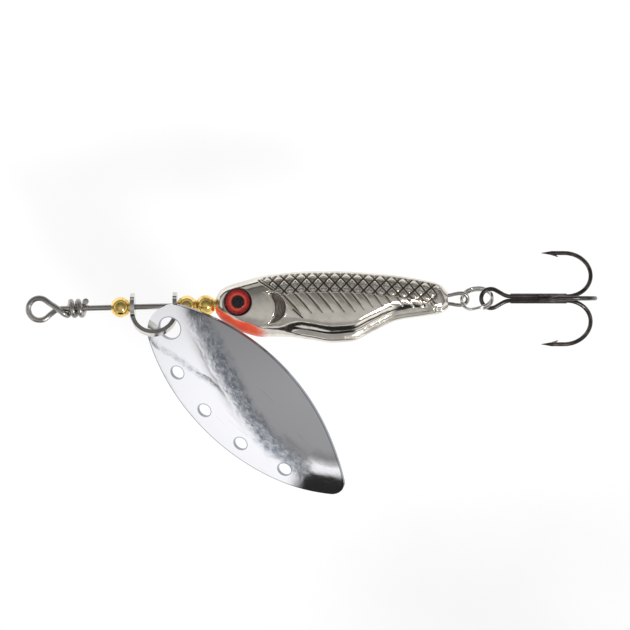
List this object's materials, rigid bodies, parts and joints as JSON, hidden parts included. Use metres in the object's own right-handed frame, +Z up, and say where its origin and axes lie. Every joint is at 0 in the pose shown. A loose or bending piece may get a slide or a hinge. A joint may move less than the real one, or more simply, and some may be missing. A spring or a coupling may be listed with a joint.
{
  "type": "inline spinner fishing lure",
  "caption": "Inline spinner lure: a wire shaft with a line eye, beads, a clevis with a willow-leaf blade, a cast fish body with domed eyes, and a treble hook on a split ring",
  "frame": {"origin": "the middle of the line eye at the front end of the shaft", "axes": "+X runs along the shaft from the line eye to the hook, +Y is towards the back of the fish, +Z is up from the surface that the lure lies on"},
  "size_m": [0.0882, 0.0371, 0.0135],
  "materials": {
    "stainless_wire": "drawn stainless wire",
    "brass_bead": "polished brass",
    "nickel_strip": "nickel plate",
    "mirror_blade": "mirror plate",
    "plated_casting": "bright nickel plate, dark in the grooves, red throat",
    "red_foil": "red foil with a black pupil",
    "clear_lens": "clear dome",
    "black_nickel": "black nickel plate"
  },
  "bodies": {
    "root": {"shaft_wire": "stainless_wire", "body_casting": "plated_casting", "tail_loop": "stainless_wire", "upper_eye_foil": "red_foil", "upper_eye_lens": "clear_lens", "lower_eye_foil": "red_foil", "lower_eye_lens": "clear_lens"},
    "front_bead": {"front_bead": "brass_bead"},
    "clevis": {"clevis": "nickel_strip"},
    "blade": {"blade": "mirror_blade"},
    "rear_bead_1": {"rear_bead_1": "brass_bead"},
    "rear_bead_2": {"rear_bead_2": "brass_bead"},
    "split_ring": {"split_ring": "nickel_strip"},
    "treble": {"treble_double_hook": "black_nickel", "treble_third_hook": "black_nickel", "treble_braze": "black_nickel"}
  },
  "joints": [
    {"name": "front_slide", "type": "slide", "parent": "root", "child": "front_bead", "axis": [-1, 0, 0], "range_m": [0, 0.0035]},
    {"name": "clevis_spin", "type": "hinge", "parent": "front_bead", "child": "clevis", "pos_m": [0.01779, 0, 0], "axis": [1, 0, 0], "continuous": true},
    {"name": "blade_swing", "type": "hinge", "parent": "clevis", "child": "blade", "pos_m": [0.01779, -0.00114, 0.00053], "axis": [0, -0.4226, -0.9063], "range_deg": [-4, 70]},
    {"name": "rear_bead_1_spin", "type": "hinge", "parent": "root", "child": "rear_bead_1", "pos_m": [0.02286, 0, 0], "axis": [1, 0, 0], "continuous": true},
    {"name": "rear_bead_2_spin", "type": "hinge", "parent": "root", "child": "rear_bead_2", "pos_m": [0.02584, 0, 0], "axis": [1, 0, 0], "continuous": true},
    {"name": "ring_swing", "type": "hinge", "parent": "root", "child": "split_ring", "pos_m": [0.06642, 0, 0], "axis": [0, 0.9063, 0.4226], "range_deg": [-40, 36]},
    {"name": "treble_swing", "type": "hinge", "parent": "split_ring", "child": "treble", "pos_m": [0.07017, 0, 0.00083], "axis": [0.1311, 0.6561, -0.7432], "range_deg": [-45, 45]}
  ]
}
